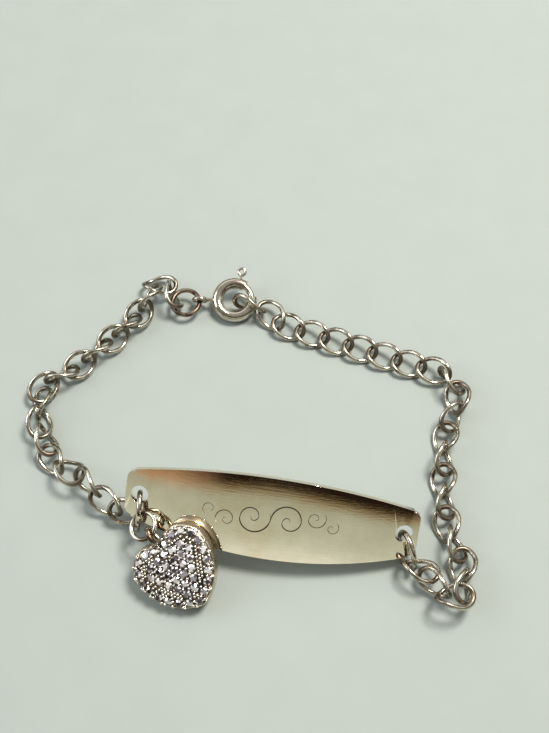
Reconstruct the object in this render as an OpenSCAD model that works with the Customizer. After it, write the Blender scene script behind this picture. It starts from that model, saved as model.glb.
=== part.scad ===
// Silver identity bracelet, closed and lying on a flat surface, in millimetres.
// X runs to the right and Y away from the wearer's side of the plate; Z is up, and Z = 0 is the
// surface that the bracelet lies on. The origin is under the middle of the whole piece.

/* [Name plate] */
// Length of the arched plate from end to end
plate_len = 34.4; // [30:0.2:38]
// Width of the plate across its middle
plate_mid_w = 9.8; // [8:0.1:11]
// Width of the plate at each end
plate_end_w = 5.3; // [4.8:0.1:6.5]
// Thickness of the plate's sheet
plate_t = 0.8; // [0.6:0.05:1]
// How far the plate's middle stands above the line through its ends
plate_rise = 2.2; // [1.5:0.1:3]
// Radius of the plate's corners
plate_corner_r = 0.9; // [0.4:0.1:1.4]
// Diameter of the hole near each end
hole_d = 2.1; // [1.9:0.1:2.4]
// Distance from the plate's end to the middle of its hole
hole_inset = 1.7; // [1.5:0.1:2.2]
// Angle at which the plate leans back from the surface
plate_tilt = 40; // [30:1:45]

/* [Chain] */
// Length of one link over its wire
link_len = 4.9; // [4.6:0.05:5.2]
// Width of one link over its wire
link_w = 3.7; // [3.4:0.05:3.9]
// Diameter of the link's wire
link_wire = 0.6; // [0.5:0.02:0.64]
// Twist of a link from one of its ends to the other
link_twist = 60; // [50:1:66]

/* [Rings] */
// Length of the oval ring through each end of the plate
plate_ring_len = 5.2; // [4.8:0.1:5.8]
// Width of the oval ring through each end of the plate
plate_ring_w = 4; // [3.6:0.1:4.4]
// Wire of the oval rings
plate_ring_wire = 0.66; // [0.5:0.02:0.7]
// Outer diameter of the jump ring beside the clasp
clasp_jump_d = 4.2; // [3.8:0.1:4.6]
// Wire of the jump ring beside the clasp
clasp_jump_wire = 0.6; // [0.5:0.02:0.7]
// Outer diameter of the jump ring that carries the heart
charm_jump_d = 3.7; // [3.3:0.1:4]
// Wire of the jump ring that carries the heart
charm_jump_wire = 0.52; // [0.45:0.02:0.62]

/* [Spring ring clasp] */
// Outer diameter of the clasp
clasp_d = 6; // [5.5:0.1:6.5]
// Diameter of the clasp's tube
clasp_tube = 1.45; // [1.3:0.05:1.6]
// Diameter of the bore inside the tube
clasp_bore = 0.94; // [0.8:0.02:1.1]
// Free play round the bolt in its bore, on each side
bolt_play = 0.05; // [0.03:0.01:0.08]
// Outer diameter of the soldered eye
eye_d = 2.3; // [2.1:0.1:2.6]
// Wire of the soldered eye
eye_wire = 0.55; // [0.45:0.02:0.6]
// Diameter of the trigger's post
trigger_post = 0.44; // [0.36:0.02:0.5]
// Outer diameter of the trigger's little loop
trigger_loop_d = 1.3; // [1.1:0.1:1.5]
// Angle at which the clasp leans back from the surface
clasp_tilt = 18; // [10:1:24]

/* [Heart charm] */
// Width of the heart across its two lobes
heart_w = 9.9; // [9.2:0.1:10.4]
// Height of the heart from its lobes to its point
heart_h = 9.5; // [8.8:0.1:10]
// Height of the smooth side wall
heart_wall = 1.6; // [1.5:0.1:2.2]
// How far the stone-set top swells above the side wall
heart_puff = 0.9; // [0.7:0.1:1.4]
// Diameter of one stone
stone_d = 1.02; // [0.9:0.02:1.1]
// Free gap between neighbouring stones
stone_gap = 0.11; // [0.11:0.01:0.2]
// Outer diameter of the heart's eyelet
eyelet_d = 2.7; // [2.4:0.1:2.9]
// Wire of the heart's eyelet
eyelet_wire = 0.6; // [0.5:0.02:0.66]

/* [Hidden] */
$fn = 64;
// Facets of the long, slow curves
long_fn = 720;

silver = "#c9c4b4";
tarnished = "#8f8672";
clear_stone = "#dfe4ea";

// Clearance kept between pieces that pass through each other
gap = 0.1;
// Sides of a wire's section and stations round one link
wire_sides = 6;
link_stations = 16;

// Where the plate's middle stands, and its turn
plate_at = [2.97, -11.42];
plate_turn = -8;
// Rise of the plate toward its left end
plate_pitch = 2.7;
// Length of the plate for which the heart and the chains' routes below were set
route_plate_len = 34.4;
// Height of the plate's lower ends, half way between them
plate_lift = 2;
// Where the clasp's middle stands
clasp_at = [-2.03, 18.78];
// Foot of the heart's eyelet, the heart's slope up the plate, the way it slopes, and its turn on the slope
eyelet_at = [-10.47, -14.28];
heart_slope = 30;
heart_facing = -16;
heart_turn = 52;

// Columns of a route's rows. A row is a stretch of chain that starts at X, Y.
X = 0;
Y = 1;
// Share of the taut pitch at which the stretch's links follow each other
SLACK = 2;
// Lean of the stretch's first link about its own length, 0 lying flat
LEAN = 3;
// Turn from each link of the stretch to the next: 90 where the links alternate, 0 where they lie as a curb
STEP = 4;
// Extra turn of the links on the surface, away from the line to their neighbours
TURN = 5;
// Extra height of the links' middles
LIFT = 6;

// Route of the chain from the plate's left end to the clasp's jump ring
route_left = [
    [-14.21, -11.04, 0.90, -52, 0, 12, 0.35],
    [-16.72, -9.92, 0.90, -50, 0, -1, 0.82],
    [-19.01, -7.75, 0.86, -73, 90, -7, 1.23],
    [-23.99, -4.01, 0.86, -36, 90, 2, 0.03],
    [-26.08, 1.05, 0.76, 37, 90, -5, 0.07],
    [-26.05, 5.91, 0.76, 34, 90, -12, 0.06],
    [-21.77, 9.19, 0.76, 32, 90, -2, 0.01],
    [-17.74, 12.99, 0.76, 36, 90, -8, 0.02],
    [-14.63, 16.79, 0.76, 27, 90, -3, 0.14],
    [-12.13, 21.30, 0.90, -18, 0, -10, 0.34],
    [-10.32, 19.46, 0.90, 114, 0, -28, 0.09]
];
// Route of the chain from the clasp to the plate's right end
route_right = [
    [0.02, 17.91, 0.90, 101, 0, 3, 0.00],
    [2.90, 16.63, 0.90, 25, 0, -23, 0.17],
    [5.14, 14.95, 0.97, 24, 0, 2, 0.05],
    [23.71, 8.26, 0.97, 25, 0, 4, 0.29],
    [25.70, 6.62, 0.97, 119, 0, 0, 0.01],
    [26.46, 4.39, 0.97, 33, 0, 0, 0.24],
    [25.60, 1.70, 0.97, 125, 0, -13, 0.01],
    [24.46, -1.19, 0.92, 36, 90, -1, 0.07],
    [23.75, -6.85, 0.80, 37, 90, -4, 0.11],
    [23.79, -12.30, 0.80, 36, 90, -4, 0.06],
    [25.16, -17.44, 0.90, 30, 0, -15, 0.28],
    [25.08, -19.90, 0.90, 124, 0, 1, 0.19],
    [23.76, -21.38, 0.90, 23, 0, 13, 1.63],
    [21.67, -19.69, 0.90, 115, 0, -2, 0.41],
    [20.07, -17.99, 0.90, 33, 0, 24, 0.78]
];

function unit(v) = v / norm(v);
function sub(list, from) = [for (i = [from : len(list) - 1]) list[i]];
function turn_x(p, a) = [p[0], p[1] * cos(a) - p[2] * sin(a), p[1] * sin(a) + p[2] * cos(a)];

// Middle line of a link's wire at angle t: an oval whose ends are turned against each other by the twist
function link_line(a, b, twist, t) = turn_x([a * cos(t), b * sin(t), 0], twist / 2 * cos(t));
function link_normal(a, b, twist, t) = turn_x(unit([b * cos(t), a * sin(t), 0]), twist / 2 * cos(t));
function link_tangent(a, b, twist, t) =
    unit(link_line(a, b, twist, t + 1) - link_line(a, b, twist, t - 1));

// Height of a leaning link's middle when its lowest side touches the surface
function resting_height(length, width, wire, twist, lean) =
    wire / 2 + max([for (t = [0 : 10 : 350])
        -turn_x(link_line((length - wire) / 2, (width - wire) / 2, twist, t), lean)[2]]);

// How far an end of the plate, -1 the left and 1 the right, lies from where it was when the routes were set
function end_move(side) =
    let (d = side * (plate_len - route_plate_len) / 2)
        d * [cos(plate_turn) * cos(plate_pitch), sin(plate_turn) * cos(plate_pitch), -sin(plate_pitch)];
// Shares of that move that a route's rows take: all of it near the plate, and none at the clasp
near_plate = 4;
function fading(n) = [for (k = [0 : n - 1]) min(1, (n - 1 - k) / (n - near_plate))];
function reversed(list) = [for (i = [len(list) - 1 : -1 : 0]) list[i]];

// Links of a route as [x, y, z, lean, turn]
taut_pitch = link_len - 2 * link_wire - gap;
function link_count(p, q) = max(1, ceil(norm([q[X] - p[X], q[Y] - p[Y]]) / (p[SLACK] * taut_pitch) - 0.05));
function route_links(route, moves) = [
    for (k = [0 : len(route) - 1])
        let (m = min(k + 1, len(route) - 1),
            p = route[k],
            n = m == k ? 1 : link_count(p, route[m]),
            from = [p[X], p[Y], p[LIFT]] + moves[k],
            to = [route[m][X], route[m][Y], p[LIFT]] + moves[m])
                for (i = [0 : n - 1])
                    let (lean = p[LEAN] + p[STEP] * i, at = from + (to - from) * i / n)
                        [at[0], at[1],
                            max(0, at[2]) + resting_height(link_len, link_w, link_wire, link_twist, lean),
                            lean, p[TURN]]
];
// Turn and climb of a link: it points from the link before it to the one after it
function heading(links, i) =
    let (p = links[max(i - 1, 0)],
        q = links[min(i + 1, len(links) - 1)],
        run = norm([q[0] - p[0], q[1] - p[1]]))
            [atan2(q[1] - p[1], q[0] - p[0]), atan2(q[2] - p[2], run)];

// One closed link of wire, lying along X
module link(length, width, wire, twist) {
    a = (length - wire) / 2;
    b = (width - wire) / 2;
    points = [
        for (i = [0 : link_stations - 1])
            let (t = 360 * i / link_stations,
                along = link_tangent(a, b, twist, t),
                out = link_normal(a, b, twist, t),
                side = unit(out - along * (out * along)),
                up = cross(along, side))
                    for (k = [0 : wire_sides - 1])
                        let (s = 360 * (k + 0.5) / wire_sides)
                            link_line(a, b, twist, t) + wire / 2 * (cos(s) * side + sin(s) * up)
    ];
    faces = [
        for (i = [0 : link_stations - 1])
            let (n = (i + 1) % link_stations)
                for (k = [0 : wire_sides - 1])
                    let (m = (k + 1) % wire_sides,
                        p = i * wire_sides + k,
                        q = i * wire_sides + m,
                        r = n * wire_sides + k,
                        s = n * wire_sides + m)
                            each [[p, r, q], [q, r, s]]
    ];
    polyhedron(points, faces);
}

module chain(route, moves) {
    links = route_links(route, moves);
    for (i = [0 : len(links) - 1])
        let (way = heading(links, i))
            translate([links[i][0], links[i][1], links[i][2]])
                rotate([0, -way[1], way[0] + links[i][4]])
                    rotate([links[i][3], 0, 0])
                        link(link_len, link_w, link_wire, link_twist);
}

// Plate
plate_side = (plate_mid_w - plate_end_w) / 2;
plate_side_r = (pow(plate_len / 2, 2) + pow(plate_side, 2)) / (2 * plate_side);
plate_arch_r = (pow(plate_len / 2, 2) + pow(plate_rise, 2)) / (2 * plate_rise);
plate_z = plate_lift + max(plate_end_w / 2 * sin(plate_tilt),
    plate_mid_w / 2 * sin(plate_tilt) - plate_rise * cos(plate_tilt));
hole_x = plate_len / 2 - hole_inset;
// Height of the plate's underside above the line through its ends, at a distance from the middle
function plate_arch(x) = plate_rise - plate_arch_r + sqrt(pow(plate_arch_r, 2) - pow(x, 2));

module place_plate() {
    translate([plate_at[0], plate_at[1], plate_z]) rotate([0, 0, plate_turn]) rotate([0, plate_pitch, 0])
        rotate([plate_tilt, 0, 0]) children();
}

// Sheet that the rounding takes off one corner of the plate
module corner_cut(depth) {
    translate([plate_len / 2 - plate_corner_r, plate_end_w / 2 - plate_corner_r, -depth])
        difference() {
            cube([2 * plate_corner_r, 2 * plate_corner_r, 3 * depth]);
            translate([0, 0, -depth]) cylinder(r = plate_corner_r, h = 5 * depth);
        }
}

module id_plate() {
    depth = plate_rise + 2 * plate_t;
    color(silver) place_plate() difference() {
        intersection() {
            translate([0, 0, plate_rise - plate_arch_r]) rotate([90, 0, 0])
                difference() {
                    cylinder(r = plate_arch_r + plate_t, h = 2 * plate_mid_w, center = true, $fn = long_fn);
                    cylinder(r = plate_arch_r, h = 3 * plate_mid_w, center = true, $fn = long_fn);
                }
            translate([-plate_len / 2, -plate_mid_w / 2, -depth]) cube([plate_len, plate_mid_w, 3 * depth]);
            translate([0, plate_mid_w / 2 - plate_side_r, -depth])
                cylinder(r = plate_side_r, h = 3 * depth, $fn = long_fn);
            translate([0, plate_side_r - plate_mid_w / 2, -depth])
                cylinder(r = plate_side_r, h = 3 * depth, $fn = long_fn);
        }
        for (mx = [0, 1]) mirror([mx, 0, 0]) {
            translate([hole_x, 0, -depth]) cylinder(d = hole_d, h = 3 * depth);
            for (my = [0, 1]) mirror([0, my, 0]) corner_cut(depth);
        }
    }
}

// Oval rings through the plate's holes, as [turn, climb, lean]: they hang from the hole over the near edge
plate_ring_left_pose = [-98, -41, 79];
plate_ring_right_pose = [-76, -37, 80];

// Puts a piece at the middle of a hole, -1 at the plate's left end and 1 at its right end
module at_hole(side) {
    place_plate() translate([side * hole_x, 0, plate_arch(hole_x) + plate_t / 2])
        rotate([-plate_tilt, 0, 0]) rotate([0, -plate_pitch, 0]) rotate([0, 0, -plate_turn]) children();
}

module plate_ring(side, pose) {
    color(silver) at_hole(side) rotate([0, -pose[1], pose[0]]) rotate([pose[2], 0, 0])
        translate([(plate_ring_len - plate_ring_wire) / 2, 0, 0])
            link(plate_ring_len, plate_ring_w, plate_ring_wire, 0);
}

module plate_ring_left() {
    plate_ring(-1, plate_ring_left_pose);
}

module plate_ring_right() {
    plate_ring(1, plate_ring_right_pose);
}

module chain_left() {
    color(silver) chain(route_left, [for (share = fading(len(route_left))) share * end_move(-1)]);
}

module chain_right() {
    color(silver) chain(route_right, [for (share = reversed(fading(len(route_right)))) share * end_move(1)]);
}

// Round ring of wire about Z
module round_ring(outer_d, wire) {
    rotate_extrude() translate([(outer_d - wire) / 2, 0]) circle(d = wire, $fn = 32);
}

charm_jump_pose = [[-11.89, -13.58, 4.40], -1, 24, 6];

module posed(pose) {
    translate(pose[0]) rotate([0, 0, pose[1]]) rotate([0, -pose[2], 0]) rotate([pose[3], 0, 0]) children();
}

module charm_jump_ring() {
    color(silver) translate(end_move(-1)) posed(charm_jump_pose) round_ring(charm_jump_d, charm_jump_wire);
}

// Clasp. Angles run round its own axis from its right side; the bolt closes the cut.
clasp_r = (clasp_d - clasp_tube) / 2;
cut_from = 6;
cut_to = 54;
bolt_from = 2;
bolt_to = 104;
bolt_travel = 53;
trigger_at = 76;
bore_to = bolt_to + bolt_travel + 20;
slot_margin = 9;
slot_w = trigger_post + 2 * bolt_play;
clasp_z = link_wire + 2 * gap + clasp_tube / 2 + 0.14;
eye_r = (eye_d - eye_wire) / 2;
// Length of the neck between the tube and the eye
eye_neck = 0.7;
eye_x = clasp_d / 2 + eye_neck + eye_r;
trigger_wire = 0.4;
trigger_loop_r = (trigger_loop_d - trigger_wire) / 2;
trigger_loop_x = clasp_d / 2 + 0.95;

module place_clasp() {
    translate([clasp_at[0], clasp_at[1], clasp_z]) rotate([clasp_tilt, 0, 0]) children();
}

// Stretch of round wire or bore along the clasp's middle line
module arc_wire(from, to, d) {
    rotate([0, 0, from]) rotate_extrude(angle = to - from) translate([clasp_r, 0]) circle(d = d, $fn = 48);
}

module spring_ring_body() {
    color(silver) place_clasp() {
        difference() {
            arc_wire(cut_to, cut_from + 360, clasp_tube);
            arc_wire(cut_to - 1, bore_to, clasp_bore);
            arc_wire(bolt_from - 2, cut_from + 1, clasp_bore);
            rotate([0, 0, trigger_at - slot_margin])
                rotate_extrude(angle = bolt_travel + 2 * slot_margin)
                    translate([clasp_r, -slot_w / 2]) square([clasp_tube, slot_w]);
        }
        difference() {
            translate([-clasp_d / 2 + eye_wire / 2, 0, 0]) rotate([0, -90, 0])
                cylinder(d = eye_wire, h = eye_neck + eye_wire / 2);
            arc_wire(cut_to, bore_to, clasp_bore);
        }
        translate([-eye_x, 0, 0]) rotate([90, 0, 0]) round_ring(eye_d, eye_wire);
    }
}

module spring_ring_bolt() {
    color(silver) place_clasp() {
        arc_wire(bolt_from, bolt_to, clasp_bore - 2 * bolt_play);
        rotate([0, 0, trigger_at]) {
            translate([clasp_r, 0, 0]) rotate([0, 90, 0])
                cylinder(d = trigger_post, h = trigger_loop_x - trigger_loop_r - clasp_r);
            translate([trigger_loop_x, 0, 0]) round_ring(trigger_loop_d, trigger_wire);
        }
    }
}

clasp_jump_pose = [[-8.52, 18.41, 1.59], 4, 1, 6];

module clasp_jump_ring() {
    color(tarnished) posed(clasp_jump_pose) round_ring(clasp_jump_d, clasp_jump_wire);
}

// Heart. On each side a round lobe runs into a long flank, and a small round closes the point.
heart_lobe_r = 0.3 * heart_w;
heart_lobe = [heart_w / 2 - heart_lobe_r, heart_h / 2 - heart_lobe_r];
heart_tip_r = 0.9;
heart_tip = [0, heart_tip_r - heart_h / 2];
heart_flank_r = (pow(heart_w / 2, 2) + pow(heart_lobe[1] - heart_tip[1], 2) - pow(heart_tip_r, 2))
    / (heart_w - 2 * heart_tip_r);
heart_flank = [heart_w / 2 - heart_flank_r, heart_lobe[1]];
heart_tip_a = atan2(heart_tip[1] - heart_flank[1], heart_tip[0] - heart_flank[0]);
heart_cleft_a = 180 - acos(heart_lobe[0] / heart_lobe_r);
heart_cleft_y = heart_lobe[1] + heart_lobe_r * sin(heart_cleft_a);
function arc_points(c, r, from, to, n) =
    [for (i = [0 : n]) let (a = from + (to - from) * i / n) c + r * [cos(a), sin(a)]];
heart_right = concat(
    arc_points(heart_lobe, heart_lobe_r, heart_cleft_a, 0, 11),
    sub(arc_points(heart_flank, heart_flank_r, 0, heart_tip_a, 8), 1),
    sub(arc_points(heart_tip, heart_tip_r, heart_tip_a, -90, 2), 1));
heart_left = [for (i = [len(heart_right) - 2 : -1 : 1]) [-heart_right[i][0], heart_right[i][1]]];
heart_outline = concat(heart_right, heart_left);

// Share of the way from the heart's middle to its outline, 1 on the outline
function reach(u, c, r) = u * c + sqrt(pow(u * c, 2) - c * c + r * r);
function heart_share(p) =
    let (u = unit([abs(p[0]), p[1]]), lobe = reach(u, heart_lobe, heart_lobe_r))
        norm(p) / (lobe * u[1] > heart_lobe[1] ? lobe : reach(u, heart_flank, heart_flank_r));
// Distance from a place inside the heart to its outline
function heart_depth(p) =
    let (q = [abs(p[0]), p[1]])
        p[1] > heart_lobe[1] ? heart_lobe_r - norm(q - heart_lobe) : heart_flank_r - norm(q - heart_flank);
// Height of the swelling top
function heart_dome(share) = heart_wall + heart_puff * (1 - pow(share, 2.5));
function heart_top(p) = heart_dome(heart_share(p));
// Outline drawn in to a share of its size
function heart_ring(share) = [for (p = heart_outline) share * p];

heart_shares = [0.965, 0.92, 0.84, 0.72, 0.58, 0.4, 0.2];
heart_foot = 0.25;

module heart_solid() {
    n = len(heart_outline);
    levels = concat(
        [[for (p = heart_ring(1 - 2 * heart_foot / heart_w)) [p[0], p[1], 0]]],
        [[for (p = heart_ring(1)) [p[0], p[1], heart_foot]]],
        [for (s = heart_shares) [for (p = heart_ring(s)) [p[0], p[1], heart_dome(s)]]]);
    points = concat([for (level = levels) each level], [[0, 0, heart_dome(0)]]);
    last = len(levels) - 1;
    faces = concat(
        [[for (i = [n - 1 : -1 : 0]) i]],
        [for (k = [0 : last - 1]) for (i = [0 : n - 1])
            let (m = (i + 1) % n, p = k * n + i, q = k * n + m)
                each [[p, q, p + n], [q, q + n, p + n]]],
        [for (i = [0 : n - 1]) [last * n + i, last * n + (i + 1) % n, len(points) - 1]]);
    polyhedron(points, faces);
}

// Stones: table, crown, girdle and pavilion as shares of the stone's diameter
stone_table = 0.56;
stone_crown = 0.16;
stone_pavilion = 0.43;
seat_play = 0.04;
stone_pitch = stone_d + stone_gap;
// One row of stones follows the outline at this distance. It runs round each lobe and down the flank.
stone_inset = 0.8;
edge_r = [heart_lobe_r - stone_inset, heart_flank_r - stone_inset];
edge_a = [180 - acos(heart_lobe[0] / edge_r[0]), acos(-heart_flank[0] / edge_r[1])];
edge_len = [for (i = [0, 1]) edge_r[i] * edge_a[i] * PI / 180];
edge_count = floor((edge_len[0] + edge_len[1]) / (1.03 * stone_pitch));
function edge_place(d) = d < edge_len[0]
    ? let (a = edge_a[0] * (1 - d / edge_len[0])) heart_lobe + edge_r[0] * [cos(a), sin(a)]
    : let (a = -edge_a[1] * (d - edge_len[0]) / edge_len[1]) heart_flank + edge_r[1] * [cos(a), sin(a)];
edge_right = [for (k = [0 : edge_count]) edge_place(k * (edge_len[0] + edge_len[1]) / edge_count)];
edge_left = [for (k = [1 : edge_count - 1]) [-edge_right[k][0], edge_right[k][1]]];
edge_stones = concat(edge_right, edge_left);
// Straight rows fill the middle
row_shift = 0.5;
stone_rows = ceil(heart_h / stone_pitch);
middle_stones = [
    for (j = [-stone_rows : stone_rows])
        for (i = [-stone_rows : stone_rows])
            let (p = [(i + (abs(j) % 2) / 2) * stone_pitch, j * sqrt(3) / 2 * stone_pitch + row_shift])
                if (norm(p) < heart_h && heart_depth(p) > stone_inset
                    && min([for (q = edge_stones) norm(p - q)]) >= stone_pitch) p
];
stone_places = concat(edge_stones, middle_stones);

// Puts a piece on the heart's top at a place, square to the surface
module on_heart(p) {
    step = 0.1;
    rise_x = (heart_top(p + [step, 0]) - heart_top(p - [step, 0])) / (2 * step);
    rise_y = (heart_top(p + [0, step]) - heart_top(p - [0, step])) / (2 * step);
    lean = atan(norm([rise_x, rise_y]));
    translate([p[0], p[1], heart_top(p)]) rotate([0, 0, atan2(rise_y, rise_x)]) rotate([0, -lean, 0])
        children();
}

module stone() {
    rotate_extrude($fn = 8) polygon([[0, -stone_pavilion * stone_d], [stone_d / 2, 0],
        [stone_table * stone_d / 2, stone_crown * stone_d], [0, stone_crown * stone_d]]);
}

module stone_seat() {
    rotate_extrude($fn = 8) polygon([[0, -stone_pavilion * stone_d - seat_play],
        [stone_d / 2 + seat_play, 0], [stone_d / 2 + seat_play, stone_d], [0, stone_d]]);
}

eyelet_r = (eyelet_d - eyelet_wire) / 2;
eyelet_y = heart_cleft_y + eyelet_r;
eyelet_z = eyelet_d / 2 + 0.1;

// Distance down the slope from the eyelet's foot to the heart's lowest place, which stands on the surface
heart_reach = -min([for (p = heart_ring(1 - 2 * heart_foot / heart_w))
    p[0] * sin(heart_turn) + (p[1] - eyelet_y) * cos(heart_turn)]);

module place_heart() {
    translate([eyelet_at[0], eyelet_at[1], heart_reach * sin(heart_slope)] + end_move(-1))
        rotate([heart_slope, 0, heart_facing]) rotate([0, 0, heart_turn])
            translate([0, -eyelet_y, 0]) children();
}

module heart_body() {
    color(silver) place_heart() {
        difference() {
            heart_solid();
            for (p = stone_places) on_heart(p) stone_seat();
        }
        translate([0, eyelet_y, eyelet_z]) rotate([0, 90, 0]) round_ring(eyelet_d, eyelet_wire);
    }
}

module heart_stones() {
    color(clear_stone) place_heart() for (p = stone_places) on_heart(p) stone();
}

id_plate();
plate_ring_left();
plate_ring_right();
chain_left();
chain_right();
clasp_jump_ring();
charm_jump_ring();
spring_ring_body();
spring_ring_bolt();
heart_body();
heart_stones();
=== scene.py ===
import math
import random

import bmesh
import bpy
import numpy as np
from mathutils import Matrix, Vector


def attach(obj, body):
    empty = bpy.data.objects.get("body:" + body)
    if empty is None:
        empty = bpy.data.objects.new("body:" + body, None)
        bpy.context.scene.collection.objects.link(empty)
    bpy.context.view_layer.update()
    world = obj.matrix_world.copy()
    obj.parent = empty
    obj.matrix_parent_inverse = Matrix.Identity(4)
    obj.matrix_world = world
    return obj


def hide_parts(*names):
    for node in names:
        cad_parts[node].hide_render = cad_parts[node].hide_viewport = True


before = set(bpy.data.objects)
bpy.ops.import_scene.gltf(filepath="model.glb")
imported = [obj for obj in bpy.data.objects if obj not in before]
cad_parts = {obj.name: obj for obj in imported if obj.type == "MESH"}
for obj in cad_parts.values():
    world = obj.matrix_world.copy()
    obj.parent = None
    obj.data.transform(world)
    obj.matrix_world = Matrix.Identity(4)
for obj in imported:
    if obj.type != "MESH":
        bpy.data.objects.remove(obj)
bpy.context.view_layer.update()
MM = 0.001

# Sizes of the pieces, as the solids have them
LINK = (4.9 * MM, 3.7 * MM, 0.59 * MM)
LINK_TWIST = 60.0
PLATE_RING = (5.2 * MM, 4.0 * MM, 0.65 * MM)
CLASP_JUMP = (4.2 * MM, 4.2 * MM, 0.6 * MM)
CHARM_JUMP = (3.7 * MM, 3.7 * MM, 0.52 * MM)
PLATE_AT = (2.97 * MM, -11.42 * MM, 3.7 * MM)
PLATE_TURNS = (40.0, 2.7, -8.0)
EYELET_AT = (-10.47 * MM, -14.28 * MM, 3.57 * MM)
HEART_SLOPE = 30.0
HEART_FACING = -16.0
HEART_TURN = 52.0
HEART_W = 9.9 * MM
HEART_H = 9.5 * MM
HEART_WALL = 1.6 * MM
HEART_PUFF = 0.9 * MM
EYELET = (2.7 * MM, 2.7 * MM, 0.6 * MM)
STONE_D = 1.02 * MM

# Detail that the solids leave out
EDGE_ROUND = 0.16 * MM
SEAM_SHARE = 0.93
BEAD_D = 0.36 * MM
BEAD_H = 0.44 * MM
CLAW_H = 0.62 * MM
BEAD_ROOM = 0.37 * MM
BEAD_GRID = 0.2 * MM


# Tools for shaping
def select_only(pieces):
    bpy.ops.object.select_all(action="DESELECT")
    for piece in pieces:
        piece.select_set(True)
    bpy.context.view_layer.objects.active = pieces[0]


def newest(name):
    piece = bpy.context.active_object
    piece.name = name
    piece.data.name = name
    return piece


def settle(piece):
    """The piece's place, turn and size go into its mesh."""
    select_only([piece])
    bpy.ops.object.transform_apply(location=True, rotation=True, scale=True)


def apply_modifier(piece, kind, **settings):
    select_only([piece])
    modifier = piece.modifiers.new(kind, kind)
    for key, value in settings.items():
        setattr(modifier, key, value)
    bpy.ops.object.modifier_apply(modifier=modifier.name)


def copy_of_node(node, name):
    """A closed mesh copied from a solid, as the start of a finer piece."""
    piece = bpy.data.objects.new(name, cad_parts[node].data.copy())
    bpy.context.collection.objects.link(piece)
    piece.data.name = name
    piece.data.materials.clear()
    select_only([piece])
    bpy.ops.mesh.customdata_custom_splitnormals_clear()
    bpy.ops.object.mode_set(mode="EDIT")
    bpy.ops.mesh.select_all(action="SELECT")
    bpy.ops.mesh.remove_doubles(threshold=1e-7)
    bpy.ops.object.mode_set(mode="OBJECT")
    return piece


def solids_of(node):
    """The corners of each separate solid of a node, one array each."""
    whole = copy_of_node(node, "whole")
    bpy.ops.object.mode_set(mode="EDIT")
    bpy.ops.mesh.select_all(action="SELECT")
    bpy.ops.mesh.separate(type="LOOSE")
    bpy.ops.object.mode_set(mode="OBJECT")
    solids = []
    for part in list(bpy.context.selected_objects):
        solids.append(np.array([v.co[:] for v in part.data.vertices]))
        bpy.data.objects.remove(part)
    return solids


def place_of(corners):
    """Where a solid lies: its middle, with X along its longest side and Z along its shortest."""
    middle = corners.mean(axis=0)
    axes = np.linalg.eigh(np.cov((corners - middle).T))[1]
    x, y = Vector(axes[:, 2]), Vector(axes[:, 1])
    place = Matrix((x, y, x.cross(y))).transposed().to_4x4()
    place.translation = Vector(middle)
    return place


def copies_at(pattern, places):
    """The pattern's mesh copied to each place, as one piece."""
    name = pattern.name
    pattern.name = name + "_pattern"
    copies = []
    for place in places:
        copy = bpy.data.objects.new(name, pattern.data.copy())
        bpy.context.collection.objects.link(copy)
        copy.data.transform(place)
        copies.append(copy)
    select_only(copies)
    if len(copies) > 1:
        bpy.ops.object.join()
    bpy.data.objects.remove(pattern)
    return newest(name)


def set_attribute(piece, name, domain, values):
    attribute = piece.data.attributes.new(name, "FLOAT", domain)
    attribute.data.foreach_set("value", values)


def stand_for(piece, node):
    """The piece takes a solid's place: the solid is hidden and the piece joins the bracelet's body."""
    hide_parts(node)
    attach(piece, "bracelet")


# Wire rings and links
def wire_ring(name, size, twist=0.0, stations=48, sides=14):
    """A closed ring of round wire lying along X, with the soldered seam in the middle of one side."""
    length, width, wire = size
    mean = (length + width) / 4 - wire / 2
    bpy.ops.mesh.primitive_torus_add(
        major_segments=stations, minor_segments=sides, major_radius=mean, minor_radius=wire / 2
    )
    ring = newest(name)
    for v in ring.data.vertices:
        angle = math.atan2(v.co.y, v.co.x)
        middle = Vector((math.cos(angle), math.sin(angle), 0)) * mean
        tangent = Vector((-(length - wire) * math.sin(angle), (width - wire) * math.cos(angle), 0))
        outward = Vector((tangent.y, -tangent.x, 0)).normalized()
        away = v.co - middle
        line = Vector(((length - wire) / 2 * math.cos(angle), (width - wire) / 2 * math.sin(angle), 0))
        seam = SEAM_SHARE if abs(angle - math.pi / 2) < math.pi / stations else 1.0
        v.co = line + seam * (outward * away.dot(middle.normalized()) + Vector((0, 0, away.z)))
    # Painted shade with tarnish in the crevice where the next link sits: it starts near the ends and grows
    # towards the inside of the wire
    contact_shade_and_tarnish, starts, end_rise, depth_rise = [], 0.45, 2.2, 3.2
    for v in ring.data.vertices:
        end = abs(v.co.x) / (length / 2)
        depth = 1 - (v.co.xy.length / Vector((length / 2, width / 2)).length)
        contact_shade_and_tarnish.append(min(1.0, max(0.0, (end - starts) * end_rise) * max(0.0, depth * depth_rise)))
    set_attribute(ring, "contact_shade_and_tarnish", "POINT", contact_shade_and_tarnish)
    if twist:
        turns = math.radians(twist) * length / (length - wire)
        apply_modifier(ring, "SIMPLE_DEFORM", deform_method="TWIST", deform_axis="X", angle=turns)
    bpy.ops.object.shade_smooth()
    return ring


def wire_piece(name, node, size, twist=0.0, **detail):
    pattern = wire_ring(name, size, twist, **detail)
    piece = copies_at(pattern, [place_of(corners) for corners in solids_of(node)])
    stand_for(piece, node)
    return piece


chain_left = wire_piece("chain_left_wire", "chain_left", LINK, LINK_TWIST)
chain_right = wire_piece("chain_right_wire", "chain_right", LINK, LINK_TWIST)
ring_left = wire_piece("plate_ring_left_wire", "plate_ring_left", PLATE_RING)
ring_right = wire_piece("plate_ring_right_wire", "plate_ring_right", PLATE_RING)
clasp_jump = wire_piece("clasp_jump_wire", "clasp_jump_ring", CLASP_JUMP, stations=64, sides=18)
charm_jump = wire_piece("charm_jump_wire", "charm_jump_ring", CHARM_JUMP, stations=64, sides=18)

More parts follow.
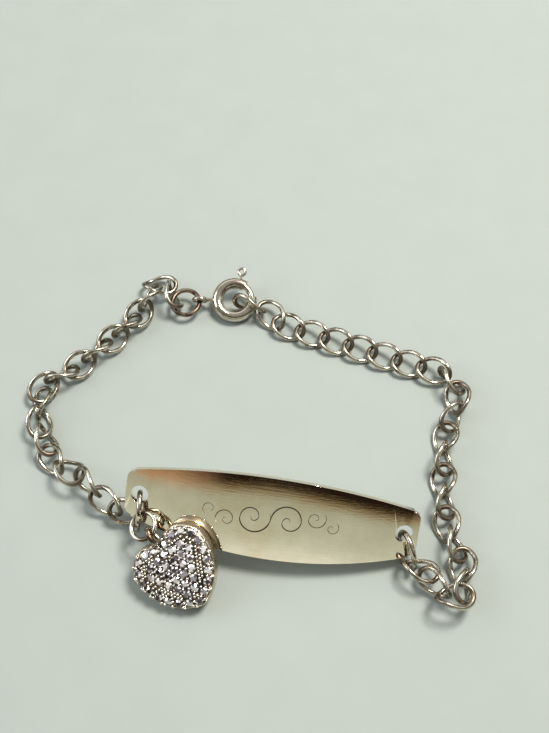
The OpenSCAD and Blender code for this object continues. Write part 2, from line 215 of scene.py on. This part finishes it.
# Plate: the rolled sheet with its sawn edges rounded over by the polishing wheel
plate = copy_of_node("id_plate", "plate_sheet")
bpy.ops.object.mode_set(mode="EDIT")
bpy.ops.mesh.select_all(action="SELECT")
bpy.ops.mesh.dissolve_limited(angle_limit=math.radians(0.05))
bpy.ops.object.mode_set(mode="OBJECT")
apply_modifier(
    plate, "BEVEL", width=EDGE_ROUND, segments=3, limit_method="ANGLE", angle_limit=math.radians(50)
)
# Below the angle between the rounding's facets, so that they don't tilt the shading of the flat sheet
bpy.ops.object.shade_smooth_by_angle(angle=math.radians(12))
stand_for(plate, "id_plate")

# Heart: its outline is two lobes, two long flanks and a small round tip
lobe_r = 0.3 * HEART_W
lobe = Vector((HEART_W / 2 - lobe_r, HEART_H / 2 - lobe_r))
tip_r = 0.9 * MM
tip = Vector((0, tip_r - HEART_H / 2))
flank_r = ((HEART_W / 2) ** 2 + (lobe.y - tip.y) ** 2 - tip_r**2) / (HEART_W - 2 * tip_r)
flank = Vector((HEART_W / 2 - flank_r, lobe.y))
tip_zone = (tip + (tip - flank).normalized() * tip_r).x
cleft_y = lobe.y + math.sqrt(lobe_r**2 - lobe.x**2)
eyelet_y = cleft_y + (EYELET[0] - EYELET[2]) / 2
heart_place = Matrix.Translation(EYELET_AT)
for degrees, axis in ((HEART_FACING, "Z"), (HEART_SLOPE, "X"), (HEART_TURN, "Z")):
    heart_place = heart_place @ Matrix.Rotation(math.radians(degrees), 4, axis)
heart_place = heart_place @ Matrix.Translation((0, -eyelet_y, 0))
to_heart = heart_place.inverted()


def reach(way, middle, radius):
    """How far from the heart's middle a circle's edge is along a way."""
    along = way.dot(middle)
    return along + math.sqrt(max(0.0, along**2 - middle.length_squared + radius**2))


def heart_edge(way):
    """The place on the heart's outline in a direction from its middle."""
    side = Vector((abs(way.x), way.y))
    far = reach(side, lobe, lobe_r)
    if far * side.y <= lobe.y:
        far = reach(side, flank, flank_r)
        if far * side.x < tip_zone and side.y < 0:
            far = reach(side, tip, tip_r)
    return way * far


def heart_dome(share):
    """Height of the puffed top at a share of the way from the middle to the edge."""
    return HEART_WALL + HEART_PUFF * (1 - share**2.5)


def heart_shell():
    """The cast heart: a circle drawn to the heart's outline, raised ring by ring and closed at its top."""
    bpy.ops.mesh.primitive_circle_add(vertices=96, radius=HEART_W / 2, fill_type="NGON")
    shell = newest("heart_shell")
    for v in shell.data.vertices:
        v.co.xy = heart_edge(v.co.xy.normalized())
    bpy.ops.object.mode_set(mode="EDIT")
    bpy.ops.mesh.select_all(action="SELECT")
    # Share of the outline and height in mm: the side wall, its rolled rim, and the groove inside the rim
    levels = [(0.94, 0.0), (0.975, 0.05), (0.995, 0.15), (1.0, 0.3), (0.995, 0.8), (0.985, 1.25)]
    levels += [(0.975, 1.5), (0.965, 1.6), (0.955, 1.63), (0.94, 1.6), (0.925, 1.5), (0.88, 1.66)]
    levels = [(share, height * MM) for share, height in levels]
    # The floor between the stones lies a little under the puffed top
    sunk = 0.12 * MM
    levels += [(share, heart_dome(share) - sunk) for share in (0.8, 0.68, 0.55, 0.4, 0.25, 0.1)]
    before = (1.0, 0.0)
    for level in levels:
        grow = level[0] / before[0]
        if level is not levels[0]:
            rise = (0, 0, level[1] - before[1])
            bpy.ops.mesh.extrude_region_move(TRANSFORM_OT_translate={"value": rise})
        bpy.ops.transform.resize(value=(grow, grow, 1), center_override=(0, 0, 0))
        before = level
    bpy.ops.mesh.poke()
    bpy.ops.mesh.select_all(action="SELECT")
    bpy.ops.mesh.normals_make_consistent(inside=False)
    bpy.ops.object.mode_set(mode="OBJECT")
    bpy.ops.object.shade_smooth_by_angle(angle=math.radians(40))
    shell.data.transform(heart_place)
    return shell


def stone_place(corners):
    """Middle of a stone's girdle, with Z through its table."""
    place = place_of(corners)
    axis = Vector(place.col[2][:3])
    if axis.z < 0:
        place = place @ Matrix.Rotation(math.pi, 4, "X")
        axis = -axis
    middle = np.array(place.translation)
    heights = (corners - middle) @ np.array(axis)
    across = np.linalg.norm(corners - middle - np.outer(heights, axis), axis=1)
    place.translation += axis * float(heights[across > 0.45 * STONE_D].mean())
    return place


def cut_stone():
    """A round cut stone: girdle, table, bevelled crown facets and a pointed pavilion."""
    table, crown, pavilion = 0.56 * STONE_D, 0.17 * STONE_D, 0.4 * STONE_D
    bpy.ops.mesh.primitive_cone_add(
        vertices=8, radius1=STONE_D / 2, radius2=table / 2, depth=crown, end_fill_type="NGON",
        location=(0, 0, crown / 2),
    )
    stone = newest("heart_cut_stones")
    settle(stone)
    mesh = bmesh.new()
    mesh.from_mesh(stone.data)
    slanted = [e for e in mesh.edges if abs(e.verts[0].co.z - e.verts[1].co.z) > 0.1 * STONE_D]
    bmesh.ops.bevel(mesh, geom=slanted, offset=0.1 * STONE_D, segments=1, affect="EDGES")
    bottom = min(mesh.faces, key=lambda f: f.calc_center_median().z)
    bmesh.ops.poke(mesh, faces=[bottom])
    for v in mesh.verts:
        if v.co.xy.length < 0.01 * STONE_D:
            v.co.z = -pavilion
    mesh.to_mesh(stone.data)
    mesh.free()
    return stone


def bead(name, height):
    """A bead of metal pushed over the stones' edges: a ball drawn out along its height."""
    bpy.ops.mesh.primitive_ico_sphere_add(subdivisions=2, radius=BEAD_D / 2)
    ball = newest(name)
    ball.scale = (1, 1, height / BEAD_D)
    settle(ball)
    bpy.ops.object.shade_smooth()
    return ball


stone_places = [stone_place(corners) for corners in solids_of("heart_stones")]
stones = copies_at(cut_stone(), stone_places)
draw = random.Random(7)
# Each facet draws a random share, which picks its painted reflection colour
set_attribute(stones, "painted_facet_light", "FACE", [draw.random() for _ in stones.data.polygons])

# Beads stand where three stones meet
bead_places = []
for i, a in enumerate(stone_places):
    for j, b in enumerate(stone_places[:i]):
        for c in stone_places[:j]:
            sides = [(p.translation - q.translation).length for p, q in ((a, b), (b, c), (a, c))]
            if max(sides) < 1.3 * STONE_D:
                up = sum((p.col[2].to_3d() for p in (a, b, c)), Vector()).normalized()
                turn = up.to_track_quat("Z", "Y").to_matrix().to_4x4()
                middle = sum((p.translation for p in (a, b, c)), Vector()) / 3
                bead_places.append(Matrix.Translation(middle - up * 0.02 * MM) @ turn)

# More beads fill the bare metal between the outer row of stones and the field inside it
taken = [((to_heart @ p.translation).xy, STONE_D / 2 + 0.05 * MM) for p in stone_places]
taken += [((to_heart @ p.translation).xy, BEAD_D) for p in bead_places]
rows = range(-26, 27)
for i in rows:
    for j in rows:
        p = Vector((i + 0.5 * (j % 2), 0.866 * j)) * BEAD_GRID
        # The tiny step gives the middle point a direction too
        share = p.length / heart_edge((p + Vector((0, 1e-9))).normalized()).length
        if share < 0.93 and all((p - q).length > room for q, room in taken):
            taken.append((p, BEAD_ROOM))
            height = heart_dome(min(share, 0.85)) - 0.03 * MM
            bead_places.append(heart_place @ Matrix.Translation((*p, height)))
beads = copies_at(bead("heart_beads", BEAD_H), bead_places)

# Upright claws on the rim between the stones of the outer row, which give the edge its ribs
outer = [(to_heart @ p.translation).xy for p in stone_places]
outer = [p for p in outer if p.length > heart_edge(p.normalized()).length - 1.0 * MM]
claw_places = []
for i, a in enumerate(outer):
    for b in outer[:i]:
        if (a - b).length < 1.35 * STONE_D:
            edge = heart_edge(((a + b) / 2).normalized())
            for share in (0.91, 0.95):
                foot = (*(edge * share), HEART_WALL + 0.04 * MM)
                claw_places.append(heart_place @ Matrix.Translation(foot))
claws = copies_at(bead("heart_claws", CLAW_H), claw_places)

eyelet = wire_ring("heart_eyelet", EYELET, stations=56, sides=18)
stand = Matrix.Translation((0, eyelet_y, EYELET[0] / 2 + 0.1 * MM))
eyelet.data.transform(heart_place @ stand @ Matrix.Rotation(math.pi / 2, 4, "Y"))
shell = heart_shell()
stand_for(stones, "heart_stones")
for piece in (shell, beads, claws, eyelet):
    stand_for(piece, "heart_body")


# Materials
def linear(hex_colour):
    parts = [int(hex_colour[i : i + 2], 16) / 255 for i in (1, 3, 5)]
    return [c / 12.92 if c <= 0.04045 else ((c + 0.055) / 1.055) ** 2.4 for c in parts] + [1.0]


def new_material(name):
    material = bpy.data.materials.new(name)
    material.use_nodes = True
    return material, material.node_tree, material.node_tree.nodes["Principled BSDF"]


def add(tree, kind, settings=None, **links):
    """Adds a node. A link's value is another node's socket, or a number or colour to set."""
    node = tree.nodes.new(kind)
    for key, value in (settings or {}).items():
        setattr(node, key, value)
    for key, value in links.items():
        socket = node.inputs[int(key[1:])] if key[1:].isdigit() else node.inputs[key.replace("_", " ")]
        if isinstance(value, bpy.types.NodeSocket):
            tree.links.new(value, socket)
        else:
            socket.default_value = value
    return node


def ramp(tree, factor, stops, interpolation="LINEAR"):
    """A colour for each value of the factor, from (position, hex colour) stops in rising order."""
    node = add(tree, "ShaderNodeValToRGB", Fac=factor)
    bands = node.color_ramp
    bands.interpolation = interpolation
    for element, (position, shade) in zip((bands.elements[0], bands.elements[1]), (stops[0], stops[-1])):
        element.position, element.color = position, linear(shade)
    for position, shade in stops[1:-1]:
        bands.elements.new(position).color = linear(shade)
    return node.outputs["Color"]


def per(size_mm):
    """Scale of a pattern whose features are this many millimetres across."""
    return 1.0 / (size_mm * MM)


def worn_silver(name, bright, dull, rough, patch_mm, scratch_mm, share, attribute=None):
    """Silver with tarnish in soft patches, fine random scratches, and painted shade with tarnish where pieces
    touch.
    """
    material, tree, shader = new_material(name)
    place = add(tree, "ShaderNodeTexCoord").outputs["Object"]
    patches = add(tree, "ShaderNodeTexNoise", Vector=place, Scale=per(patch_mm), Detail=4.0, Roughness=0.6)
    amount = add(
        tree, "ShaderNodeMapRange", Value=patches.outputs["Fac"],
        From_Min=0.62 - 0.3 * share, From_Max=0.78 - 0.2 * share,
    ).outputs["Result"]
    if attribute:
        # Painted shade with tarnish: darker and rougher where the attribute marks the crevices between pieces
        crevice_shade_and_tarnish = add(tree, "ShaderNodeAttribute", {"attribute_name": attribute})
        amount = add(
            tree, "ShaderNodeMath", {"operation": "MAXIMUM"}, _0=amount, _1=crevice_shade_and_tarnish.outputs["Fac"]
        ).outputs[0]
    colour = add(
        tree, "ShaderNodeMix", {"data_type": "RGBA"}, _0=amount, _6=linear(bright), _7=linear(dull)
    ).outputs[2]
    tree.links.new(colour, shader.inputs["Base Color"])
    shader.inputs["Metallic"].default_value = 1.0
    fine = add(tree, "ShaderNodeTexNoise", Vector=place, Scale=per(scratch_mm), Detail=3.0)
    gloss = add(
        tree, "ShaderNodeMapRange", Value=amount, To_Min=rough, To_Max=rough + 0.22
    ).outputs["Result"]
    gloss = add(
        tree, "ShaderNodeMath", {"operation": "MULTIPLY_ADD"}, _0=fine.outputs["Fac"], _1=0.1, _2=gloss
    ).outputs[0]
    tree.links.new(gloss, shader.inputs["Roughness"])
    bump = add(
        tree, "ShaderNodeBump", Strength=0.25, Distance=0.02 * MM, Height=fine.outputs["Fac"]
    ).outputs["Normal"]
    tree.links.new(bump, shader.inputs["Normal"])
    return material


# Drawn sterling silver wire, tumbled bright and then worn: warm white metal, with painted shade and brown
# tarnish where links touch
wire_silver = worn_silver(
    "sterling_silver_drawn_wire", "#d2ccbb", "#5c4e3e",
    rough=0.07, patch_mm=1.3, scratch_mm=0.12, share=0.5, attribute="contact_shade_and_tarnish",
)
# The clasp's jump ring is of the same wire, tarnished to a rosy brown
dark_wire = worn_silver(
    "sterling_silver_tarnished_wire", "#b0a08d", "#4a3c32",
    rough=0.12, patch_mm=1.2, scratch_mm=0.12, share=0.75, attribute="contact_shade_and_tarnish",
)
# Drawn tube, polished: a bright round gloss with faint rosy tarnish
tube_silver = worn_silver(
    "sterling_silver_drawn_tube", "#d0c8b8", "#76685a", rough=0.06, patch_mm=1.8, scratch_mm=0.1, share=0.4
)
# Silver beads and claws of the setting, cut bright with a graver: small hard glints among the stones
bead_silver = worn_silver(
    "sterling_silver_bright_cut", "#f0eadf", "#a39582", rough=0.1, patch_mm=0.8, scratch_mm=0.08, share=0.25
)


def curl(tree, x, y, middle, pitch, radius, start):
    """Share of an engraved line at each place: a curl that widens from its middle, finer at its inner end."""

    def work(operation, *values):
        return add(
            tree, "ShaderNodeMath", {"operation": operation}, **{"_%d" % i: v for i, v in enumerate(values)}
        ).outputs[0]

    fine, swell, sharp = 0.03, 0.035, 30.0
    dx, dy = work("SUBTRACT", x, middle[0] * MM), work("SUBTRACT", y, middle[1] * MM)
    far = work("SQRT", work("ADD", work("MULTIPLY", dx, dx), work("MULTIPLY", dy, dy)))
    turn = work("MULTIPLY_ADD", work("ARCTAN2", dy, dx), 0.5 / math.pi, start)
    off = work("PINGPONG", work("SUBTRACT", work("DIVIDE", far, pitch * MM), turn), 0.5)
    width = work("MULTIPLY_ADD", far, swell / (radius * MM), fine)
    line = work("SMOOTH_MIN", work("MULTIPLY", work("SUBTRACT", width, off), sharp), 1.0, 0.1)
    inside = work("LESS_THAN", far, radius * MM)
    return work("MULTIPLY", work("MAXIMUM", line, 0.0), inside)


def plate_silver():
    """Rolled sterling silver sheet, buffed to a soft mirror: long hairline scratches from wear, faint warm
    patches of tarnish, and an engraved scroll in the middle whose grooves hold a little dirt."""
    material, tree, shader = new_material("sterling_silver_rolled_sheet")
    place = add(tree, "ShaderNodeTexCoord").outputs["Object"]
    local = add(
        tree, "ShaderNodeMapping", {"vector_type": "TEXTURE"}, Vector=place,
        Location=PLATE_AT, Rotation=[math.radians(turn) for turn in PLATE_TURNS],
    ).outputs["Vector"]
    axes = add(tree, "ShaderNodeSeparateXYZ", Vector=local)
    along, across = axes.outputs["X"], axes.outputs["Y"]
    side = add(tree, "ShaderNodeMath", {"operation": "SIGN"}, _0=along).outputs[0]
    along = add(tree, "ShaderNodeMath", {"operation": "ABSOLUTE"}, _0=along).outputs[0]
    across = add(tree, "ShaderNodeMath", {"operation": "MULTIPLY"}, _0=across, _1=side).outputs[0]
    lines = curl(tree, along, across, (2.1, 0.0), 1.4, 2.1, 0.0)
    for middle, pitch, radius, start in (((5.1, 0.75), 0.9, 1.25, 0.35), ((7.1, -0.15), 0.7, 0.85, 0.1)):
        more = curl(tree, along, across, middle, pitch, radius, start)
        lines = add(tree, "ShaderNodeMath", {"operation": "MAXIMUM"}, _0=lines, _1=more).outputs[0]
    patches = add(tree, "ShaderNodeTexNoise", Vector=local, Scale=per(5.0), Detail=5.0, Roughness=0.62)
    clean = ramp(tree, patches.outputs["Fac"], [(0.35, "#d9cbb0"), (0.5, "#dfd6c4"), (0.68, "#e8e0cf")])
    dirty = add(tree, "ShaderNodeMix", {"data_type": "RGBA"}, _0=lines, _6=clean, _7=linear("#5b4a36"))
    tree.links.new(dirty.outputs[2], shader.inputs["Base Color"])
    shader.inputs["Metallic"].default_value = 1.0
    # Hairlines: noise drawn out along two directions that cross
    hairs = []
    for degrees, squeeze, wide_mm in ((24, 0.04, 0.16), (-37, 0.05, 0.2)):
        drawn = add(
            tree, "ShaderNodeMapping", Vector=local,
            Rotation=(0, 0, math.radians(degrees)), Scale=(squeeze, 1.0, 1.0),
        ).outputs["Vector"]
        noise = add(tree, "ShaderNodeTexNoise", Vector=drawn, Scale=per(wide_mm), Detail=3.0, Roughness=0.7)
        hairs.append(noise.outputs["Fac"])
    both = add(tree, "ShaderNodeMath", {"operation": "ADD"}, _0=hairs[0], _1=hairs[1]).outputs[0]
    gloss = add(
        tree, "ShaderNodeMapRange", Value=patches.outputs["Fac"],
        From_Min=0.3, From_Max=0.75, To_Min=0.012, To_Max=0.042,
    ).outputs["Result"]
    tree.links.new(gloss, shader.inputs["Roughness"])
    scratched = add(tree, "ShaderNodeBump", Strength=0.03, Distance=0.015 * MM, Height=both).outputs["Normal"]
    cut = add(
        tree, "ShaderNodeBump", {"invert": True},
        Strength=0.4, Distance=0.03 * MM, Height=lines, Normal=scratched,
    ).outputs["Normal"]
    tree.links.new(cut, shader.inputs["Normal"])
    return material


def setting_silver():
    """Cast silver, pierced for the stones and blackened between them by age: bright wall, dark floor."""
    material = worn_silver(
        "sterling_silver_oxidised_setting", "#e2d8c4", "#9a8a70",
        rough=0.22, patch_mm=1.4, scratch_mm=0.1, share=0.35,
    )
    tree = material.node_tree
    shader = tree.nodes["Principled BSDF"]
    floor = add(tree, "ShaderNodeAttribute", {"attribute_name": "floor"})
    was = shader.inputs["Base Color"].links[0].from_socket
    colour = add(
        tree, "ShaderNodeMix", {"data_type": "RGBA"}, _0=floor.outputs["Fac"], _6=was, _7=linear("#6b5f55")
    )
    tree.links.new(colour.outputs[2], shader.inputs["Base Color"])
    return material


def stone_glass():
    """Cubic zirconia, machine cut: hard facets, each painted with a random colour that stands for the light
    it sends back, some white, some smoky lilac, some almost black."""
    material, tree, shader = new_material("cubic_zirconia_cut")
    painted_facet_light = add(tree, "ShaderNodeAttribute", {"attribute_name": "painted_facet_light"})
    # Painted reflections: near black, grey, lilac, brown and white facets stand in for the light the stone
    # sends back
    painted_reflections = [(0.0, "#2c2629"), (0.2, "#5a5054"), (0.36, "#8d838e")]
    painted_reflections += [(0.48, "#7a6a5c"), (0.58, "#cac6ce"), (0.68, "#ffffff")]
    colour = ramp(tree, painted_facet_light.outputs["Fac"], painted_reflections, "CONSTANT")
    tree.links.new(colour, shader.inputs["Base Color"])
    place = add(tree, "ShaderNodeTexCoord").outputs["Object"]
    dust = add(tree, "ShaderNodeTexNoise", Vector=place, Scale=per(0.25), Detail=2.0)
    gloss = add(tree, "ShaderNodeMapRange", Value=dust.outputs["Fac"], To_Min=0.02, To_Max=0.09)
    tree.links.new(gloss.outputs["Result"], shader.inputs["Roughness"])
    shader.inputs["IOR"].default_value = 2.15
    # Partly metallic, which stands for the light that a cut stone throws back from its inside
    shader.inputs["Metallic"].default_value = 0.55
    shader.inputs["Coat Weight"].default_value = 1.0
    shader.inputs["Coat Roughness"].default_value = 0.02
    return material


finishes = {
    wire_silver: [chain_left, chain_right, ring_left, ring_right, charm_jump, eyelet],
    dark_wire: [clasp_jump],
    plate_silver(): [plate],
    setting_silver(): [shell],
    bead_silver: [beads, claws],
    stone_glass(): [stones],
}
for material, pieces in finishes.items():
    for piece in pieces:
        piece.data.materials.clear()
        piece.data.materials.append(material)
for node in ("spring_ring_body", "spring_ring_bolt"):
    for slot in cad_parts[node].material_slots:
        slot.link = "OBJECT"
        slot.material = tube_silver
# The part of the shell inside its rim, dark with age
floor_share = []
for v in shell.data.vertices:
    p = to_heart @ v.co
    inside = p.xy.length < 0.92 * heart_edge(p.xy.normalized()).length
    floor_share.append(1.0 if inside and p.z > 1.4 * MM else 0.0)
set_attribute(shell, "floor", "POINT", floor_share)

# Floor, light and camera
bpy.ops.mesh.primitive_plane_add(size=1.2)
floor = newest("floor")
# Matt card with a faint mottle
material, tree, shader = new_material("matt_card")
place = add(tree, "ShaderNodeTexCoord").outputs["Object"]
mottle = add(tree, "ShaderNodeTexNoise", Vector=place, Scale=per(6.0), Detail=3.0)
pale, paler = linear("#959e99"), linear("#9ba39e")
tint = add(tree, "ShaderNodeMix", {"data_type": "RGBA"}, _0=mottle.outputs["Fac"], _6=pale, _7=paler)
tree.links.new(tint.outputs[2], shader.inputs["Base Color"])
shader.inputs["Roughness"].default_value = 0.75
floor.data.materials.append(material)

world = bpy.data.worlds.new("studio")
bpy.context.scene.world = world
world.use_nodes = True
tree = world.node_tree
way = add(tree, "ShaderNodeTexCoord").outputs["Generated"]
axes = add(tree, "ShaderNodeSeparateXYZ", Vector=way)
# The pale screen's upper edge is an arc, highest a little to the left of the middle
ARC_LEFT = 0.15
ARC_FALL = 0.45
aside = add(tree, "ShaderNodeMath", {"operation": "ADD"}, _0=axes.outputs["X"], _1=ARC_LEFT).outputs[0]
aside = add(tree, "ShaderNodeMath", {"operation": "MULTIPLY"}, _0=aside, _1=aside).outputs[0]
height = add(
    tree, "ShaderNodeMath", {"operation": "MULTIPLY_ADD"}, _0=aside, _1=ARC_FALL, _2=axes.outputs["Z"]
).outputs[0]

# In front, a pale screen with a dark room above it, which gives the plate the dark band along its far edge
screen = [(0.0, "#2c2822"), (0.16, "#5a5246"), (0.34, "#cfcfbe"), (0.45, "#fffff2"), (0.472, "#d2d6c4")]
screen += [(0.503, "#bcc0ae")]
ceiling = [(0.82, "#8a8880"), (1.0, "#a8a8a2")]
dark = [(0.509, "#a08a62"), (0.515, "#261b14"), (0.72, "#2b241f")]
dark_room = ramp(tree, height, screen + dark + ceiling)
# At its left the room opens on a warm lamp-lit wall
warm = [(0.511, "#c9a27c"), (0.522, "#96745a"), (0.6, "#463830")]
warm_room = ramp(tree, height, screen + warm + ceiling)
left = add(tree, "ShaderNodeMapRange", Value=axes.outputs["X"], From_Min=-0.3, From_Max=-0.5)
front_wall = add(
    tree, "ShaderNodeMix", {"data_type": "RGBA"}, _0=left.outputs["Result"], _6=dark_room, _7=warm_room
).outputs[2]
# Behind the object, a dark foot, a broad white window and a grey ceiling
window = [(0.0, "#2c2822"), (0.16, "#4d463b"), (0.34, "#8e887a"), (0.46, "#ffffff"), (0.8, "#ffffff")]
back_wall = ramp(tree, axes.outputs["Z"], window + [(0.9, "#a8a8a2")])
back = add(tree, "ShaderNodeMapRange", Value=axes.outputs["Y"], From_Min=-0.25, From_Max=0.15)
sky = add(
    tree, "ShaderNodeMix", {"data_type": "RGBA"}, _0=back.outputs["Result"], _6=front_wall, _7=back_wall
)
tree.links.new(sky.outputs[2], tree.nodes["Background"].inputs["Color"])


def soft_light(name, place, size, power, colour):
    """A square soft light, aimed at the middle of the object."""
    bpy.ops.object.light_add(type="AREA", location=place)
    lamp = bpy.context.active_object
    lamp.name = name
    lamp.data.size = size
    lamp.data.energy = power
    lamp.data.color = linear(colour)[:3]
    lamp.rotation_euler = (-Vector(place)).to_track_quat("-Z", "Y").to_euler()


soft_light("key_softbox", (0.16, 0.13, 0.44), size=0.15, power=3.1, colour="#fff8f0")
soft_light("fill_softbox", (-0.3, 0.02, 0.2), size=0.2, power=0.5, colour="#eef4ff")

# Looking down at 62 degrees, near the object
CAMERA_AT = (3.27 * MM, -51.52 * MM, 115 * MM)
CAMERA_TILT = 28.0
bpy.ops.object.camera_add(location=CAMERA_AT, rotation=(math.radians(CAMERA_TILT), 0, 0))
camera = bpy.context.active_object
camera.data.lens = 49.11
camera.data.sensor_width = 36
camera.data.clip_start = 0.005
bpy.context.scene.camera = camera
bpy.context.scene.view_settings.view_transform = "Standard"
